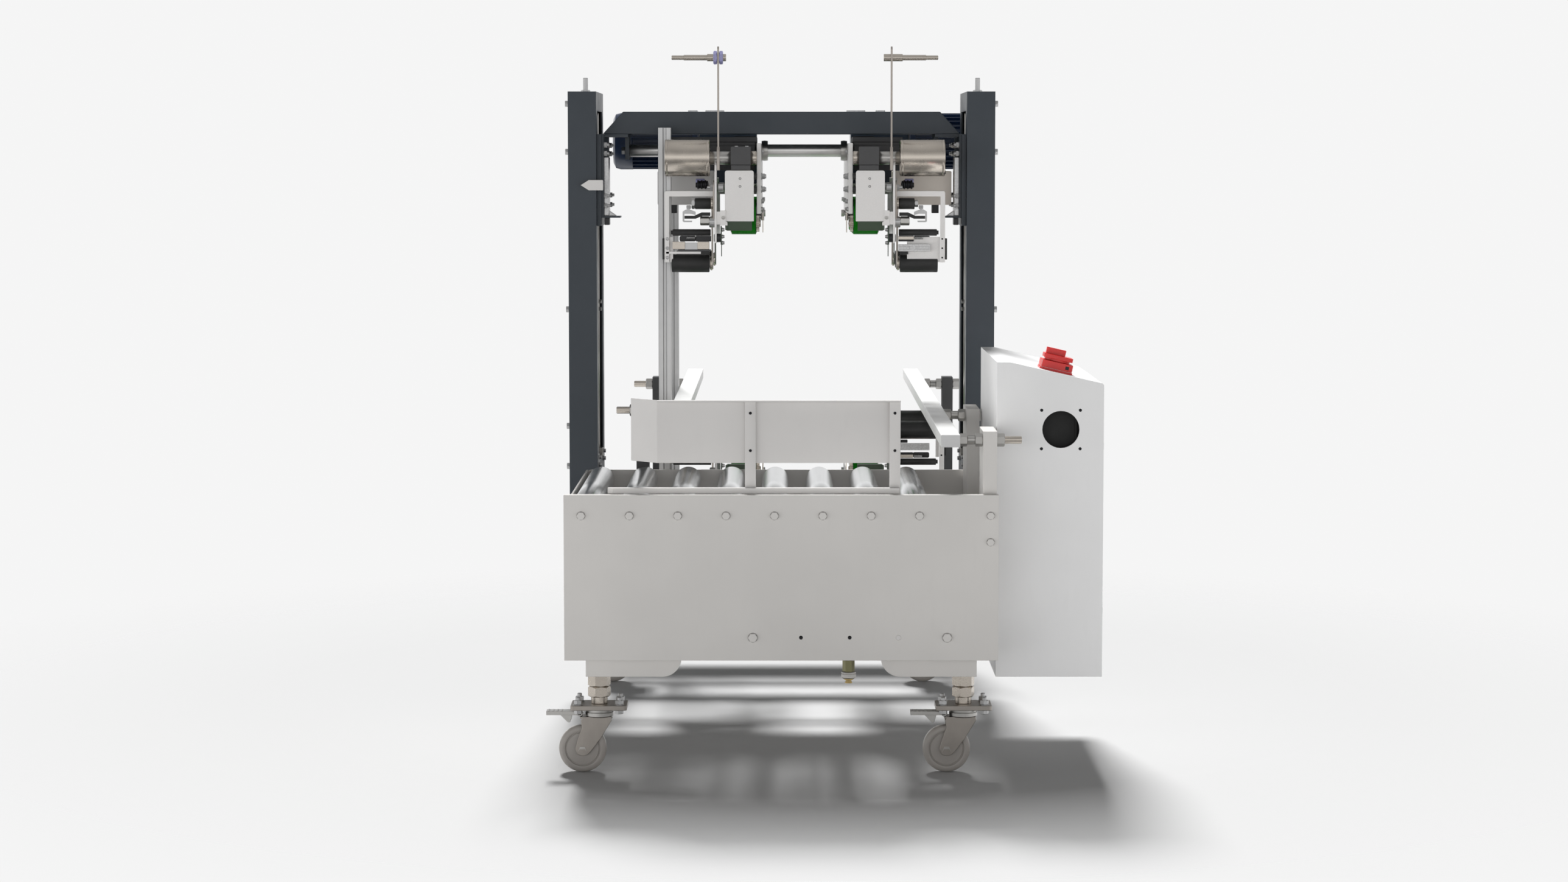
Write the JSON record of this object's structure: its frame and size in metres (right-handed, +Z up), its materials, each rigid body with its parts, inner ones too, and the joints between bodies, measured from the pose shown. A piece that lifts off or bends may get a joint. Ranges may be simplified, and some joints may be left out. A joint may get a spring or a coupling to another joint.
{
  "type": "carton edge sealer",
  "caption": "Carton edge sealing machine with roller table, push-in plate, lifting crosshead, tape heads with drive belts, guide rails, control cabinet and casters.",
  "frame": {"origin": "floor level under the centre of the machine's bounding box", "axes": "+Z up, +Y from the roller table towards the outfeed end, +X towards the control cabinet"},
  "size_m": [1.174, 2.19, 1.543],
  "materials": {
    "grey_paint": "light grey powder coat",
    "white_paint": "white powder coat",
    "blue_paint": "dark blue-grey powder coat",
    "chrome": "polished",
    "nickel": "satin nickel",
    "aluminium": "anodised",
    "green_belt": "matt textured belt",
    "black_rubber": "satin rubber",
    "motor_paint": "navy enamel",
    "red_plastic": "semi-gloss",
    "brass": "dull plated"
  },
  "bodies": {
    "base": {"front_panel": "grey_paint", "left_table_side": "grey_paint", "right_table_side": "grey_paint", "rear_table_panel": "grey_paint", "pusher_cylinder": "aluminium", "left_leg_bracket": "grey_paint", "right_leg_bracket": "grey_paint", "main_frame": "blue_paint", "left_column": "blue_paint", "right_column": "blue_paint", "aluminium_post": "aluminium", "control_cabinet": "white_paint", "air_inlet": "brass"},
    "roller_1": {"roller_1": "chrome"},
    "roller_2": {"roller_2": "chrome"},
    "roller_3": {"roller_3": "chrome"},
    "roller_4": {"roller_4": "chrome"},
    "roller_5": {"roller_5": "chrome"},
    "roller_6": {"roller_6": "chrome"},
    "roller_7": {"roller_7": "chrome"},
    "roller_8": {"roller_8": "chrome"},
    "pusher": {"pusher_plate": "grey_paint", "pusher_carriage": "grey_paint"},
    "left_front_fork": {"left_front_fork": "nickel"},
    "left_front_wheel": {"left_front_wheel": "nickel"},
    "left_brake_pedal": {"left_brake_pedal": "nickel"},
    "right_front_fork": {"right_front_fork": "nickel"},
    "right_front_wheel": {"right_front_wheel": "nickel"},
    "right_brake_pedal": {"right_brake_pedal": "nickel"},
    "left_rear_fork": {"left_rear_fork": "nickel"},
    "left_rear_wheel": {"left_rear_wheel": "nickel"},
    "right_rear_fork": {"right_rear_fork": "nickel"},
    "right_rear_wheel": {"right_rear_wheel": "nickel"},
    "crosshead": {"crossbeam": "blue_paint", "cross_shaft": "chrome", "left_carriage": "blue_paint", "right_carriage": "blue_paint"},
    "upper_left_unit": {"upper_left_frame": "white_paint", "upper_left_belt": "green_belt", "left_motor": "motor_paint"},
    "upper_left_front_arm": {"upper_left_front_arm": "black_rubber"},
    "upper_left_rear_arm": {"upper_left_rear_arm": "black_rubber"},
    "upper_left_hub": {"upper_left_hub": "nickel"},
    "upper_right_unit": {"upper_right_frame": "white_paint", "upper_right_belt": "green_belt", "right_motor": "motor_paint"},
    "upper_right_front_arm": {"upper_right_front_arm": "black_rubber"},
    "upper_right_rear_arm": {"upper_right_rear_arm": "black_rubber"},
    "upper_right_hub": {"upper_right_hub": "nickel"},
    "lower_left_unit": {"lower_left_frame": "white_paint", "lower_left_belt": "green_belt"},
    "lower_left_front_arm": {"lower_left_front_arm": "black_rubber"},
    "lower_left_rear_arm": {"lower_left_rear_arm": "black_rubber"},
    "lower_right_unit": {"lower_right_frame": "white_paint", "lower_right_belt": "green_belt"},
    "lower_right_front_arm": {"lower_right_front_arm": "black_rubber"},
    "lower_right_rear_arm": {"lower_right_rear_arm": "black_rubber"},
    "left_rail": {"left_guide_rail": "white_paint"},
    "right_rail": {"right_guide_rail": "white_paint"},
    "knob": {"switch_knob": "red_plastic"}
  },
  "joints": [
    {"name": "roller_1_turn", "type": "hinge", "parent": "base", "child": "roller_1", "pos_m": [-0.503, -1.071, 0.549], "axis": [0, 1, 0], "continuous": true},
    {"name": "roller_2_turn", "type": "hinge", "parent": "base", "child": "roller_2", "pos_m": [-0.403, -1.071, 0.549], "axis": [0, 1, 0], "continuous": true},
    {"name": "roller_3_turn", "type": "hinge", "parent": "base", "child": "roller_3", "pos_m": [-0.303, -1.071, 0.549], "axis": [0, 1, 0], "continuous": true},
    {"name": "roller_4_turn", "type": "hinge", "parent": "base", "child": "roller_4", "pos_m": [-0.203, -1.071, 0.549], "axis": [0, 1, 0], "continuous": true},
    {"name": "roller_5_turn", "type": "hinge", "parent": "base", "child": "roller_5", "pos_m": [-0.103, -1.071, 0.549], "axis": [0, 1, 0], "continuous": true},
    {"name": "roller_6_turn", "type": "hinge", "parent": "base", "child": "roller_6", "pos_m": [-0.003, -1.071, 0.549], "axis": [0, 1, 0], "continuous": true},
    {"name": "roller_7_turn", "type": "hinge", "parent": "base", "child": "roller_7", "pos_m": [0.097, -1.071, 0.549], "axis": [0, 1, 0], "continuous": true},
    {"name": "roller_8_turn", "type": "hinge", "parent": "base", "child": "roller_8", "pos_m": [0.197, -1.071, 0.549], "axis": [0, 1, 0], "continuous": true},
    {"name": "pusher_slide", "type": "slide", "parent": "base", "child": "pusher", "axis": [0, 1, 0], "range_m": [0, 0.68]},
    {"name": "left_front_swivel", "type": "hinge", "parent": "base", "child": "left_front_fork", "pos_m": [-0.471, -1.015, 0.135], "axis": [0, 0, 1], "continuous": true},
    {"name": "left_front_roll", "type": "hinge", "parent": "left_front_fork", "child": "left_front_wheel", "pos_m": [-0.506, -1.015, 0.05], "axis": [0, 1, 0], "continuous": true},
    {"name": "left_brake_tip", "type": "hinge", "parent": "left_front_fork", "child": "left_brake_pedal", "pos_m": [-0.511, -1.015, 0.125], "axis": [0, -1, 0], "range_deg": [0, 12]},
    {"name": "right_front_swivel", "type": "hinge", "parent": "base", "child": "right_front_fork", "pos_m": [0.293, -1.015, 0.135], "axis": [0, 0, 1], "continuous": true},
    {"name": "right_front_roll", "type": "hinge", "parent": "right_front_fork", "child": "right_front_wheel", "pos_m": [0.258, -1.015, 0.05], "axis": [0, 1, 0], "continuous": true},
    {"name": "right_brake_tip", "type": "hinge", "parent": "right_front_fork", "child": "right_brake_pedal", "pos_m": [0.253, -1.015, 0.125], "axis": [0, -1, 0], "range_deg": [0, 12]},
    {"name": "left_rear_swivel", "type": "hinge", "parent": "base", "child": "left_rear_fork", "pos_m": [-0.471, 0.195, 0.135], "axis": [0, 0, 1], "continuous": true},
    {"name": "left_rear_roll", "type": "hinge", "parent": "left_rear_fork", "child": "left_rear_wheel", "pos_m": [-0.506, 0.195, 0.05], "axis": [0, 1, 0], "continuous": true},
    {"name": "right_rear_swivel", "type": "hinge", "parent": "base", "child": "right_rear_fork", "pos_m": [0.293, 0.195, 0.135], "axis": [0, 0, 1], "continuous": true},
    {"name": "right_rear_roll", "type": "hinge", "parent": "right_rear_fork", "child": "right_rear_wheel", "pos_m": [0.258, 0.195, 0.05], "axis": [0, 1, 0], "continuous": true},
    {"name": "head_lift", "type": "slide", "parent": "base", "child": "crosshead", "axis": [0, 0, 1], "range_m": [-0.3, 0.04]},
    {"name": "upper_left_shift", "type": "slide", "parent": "crosshead", "child": "upper_left_unit", "axis": [1, 0, 0], "range_m": [0, 0.05]},
    {"name": "upper_left_front_swing", "type": "hinge", "parent": "upper_left_unit", "child": "upper_left_front_arm", "pos_m": [-0.1415, -0.19, 1.165], "axis": [1, 0, 0], "range_deg": [0, 40], "stiffness_Nm_per_rad": 3, "springref_deg": -28.65},
    {"name": "upper_left_rear_swing", "type": "hinge", "parent": "upper_left_unit", "child": "upper_left_rear_arm", "pos_m": [-0.1415, 0.14, 1.165], "axis": [1, 0, 0], "range_deg": [0, 40]},
    {"name": "upper_left_hub_turn", "type": "hinge", "parent": "upper_left_unit", "child": "upper_left_hub", "pos_m": [-0.1415, -0.205, 1.2866], "axis": [1, 0, 0], "continuous": true},
    {"name": "upper_right_shift", "type": "slide", "parent": "crosshead", "child": "upper_right_unit", "axis": [-1, 0, 0], "range_m": [0, 0.05]},
    {"name": "upper_right_front_swing", "type": "hinge", "parent": "upper_right_unit", "child": "upper_right_front_arm", "pos_m": [0.0717, -0.19, 1.165], "axis": [1, 0, 0], "range_deg": [0, 40], "stiffness_Nm_per_rad": 3, "springref_deg": -28.65},
    {"name": "upper_right_rear_swing", "type": "hinge", "parent": "upper_right_unit", "child": "upper_right_rear_arm", "pos_m": [0.0717, 0.14, 1.165], "axis": [1, 0, 0], "range_deg": [0, 40]},
    {"name": "upper_right_hub_turn", "type": "hinge", "parent": "upper_right_unit", "child": "upper_right_hub", "pos_m": [0.0717, -0.205, 1.2866], "axis": [1, 0, 0], "continuous": true},
    {"name": "lower_left_shift", "type": "slide", "parent": "base", "child": "lower_left_unit", "axis": [1, 0, 0], "range_m": [0, 0.05]},
    {"name": "lower_left_front_swing", "type": "hinge", "parent": "lower_left_unit", "child": "lower_left_front_arm", "pos_m": [-0.1415, -0.19, 0.528], "axis": [-1, 0, 0], "range_deg": [0, 40], "stiffness_Nm_per_rad": 3, "springref_deg": -28.65},
    {"name": "lower_left_rear_swing", "type": "hinge", "parent": "lower_left_unit", "child": "lower_left_rear_arm", "pos_m": [-0.1415, 0.14, 0.528], "axis": [-1, 0, 0], "range_deg": [0, 40]},
    {"name": "lower_right_shift", "type": "slide", "parent": "base", "child": "lower_right_unit", "axis": [-1, 0, 0], "range_m": [0, 0.05]},
    {"name": "lower_right_front_swing", "type": "hinge", "parent": "lower_right_unit", "child": "lower_right_front_arm", "pos_m": [0.0717, -0.19, 0.528], "axis": [-1, 0, 0], "range_deg": [0, 40], "stiffness_Nm_per_rad": 3, "springref_deg": -28.65},
    {"name": "lower_right_rear_swing", "type": "hinge", "parent": "lower_right_unit", "child": "lower_right_rear_arm", "pos_m": [0.0717, 0.14, 0.528], "axis": [-1, 0, 0], "range_deg": [0, 40]},
    {"name": "left_rail_shift", "type": "slide", "parent": "base", "child": "left_rail", "axis": [1, 0, 0], "range_m": [0, 0.03]},
    {"name": "right_rail_shift", "type": "slide", "parent": "base", "child": "right_rail", "axis": [-1, 0, 0], "range_m": [0, 0.03]},
    {"name": "switch_turn", "type": "hinge", "parent": "base", "child": "knob", "pos_m": [0.49359, -0.91, 0.85748], "axis": [0.2238, 0, 0.9746], "range_deg": [0, 90]}
  ],
  "couplings": [
    {"joint": "upper_left_rear_swing", "follows": "upper_left_front_swing", "ratio": 1},
    {"joint": "upper_right_rear_swing", "follows": "upper_right_front_swing", "ratio": 1},
    {"joint": "lower_left_rear_swing", "follows": "lower_left_front_swing", "ratio": 1},
    {"joint": "lower_right_rear_swing", "follows": "lower_right_front_swing", "ratio": 1}
  ]
}
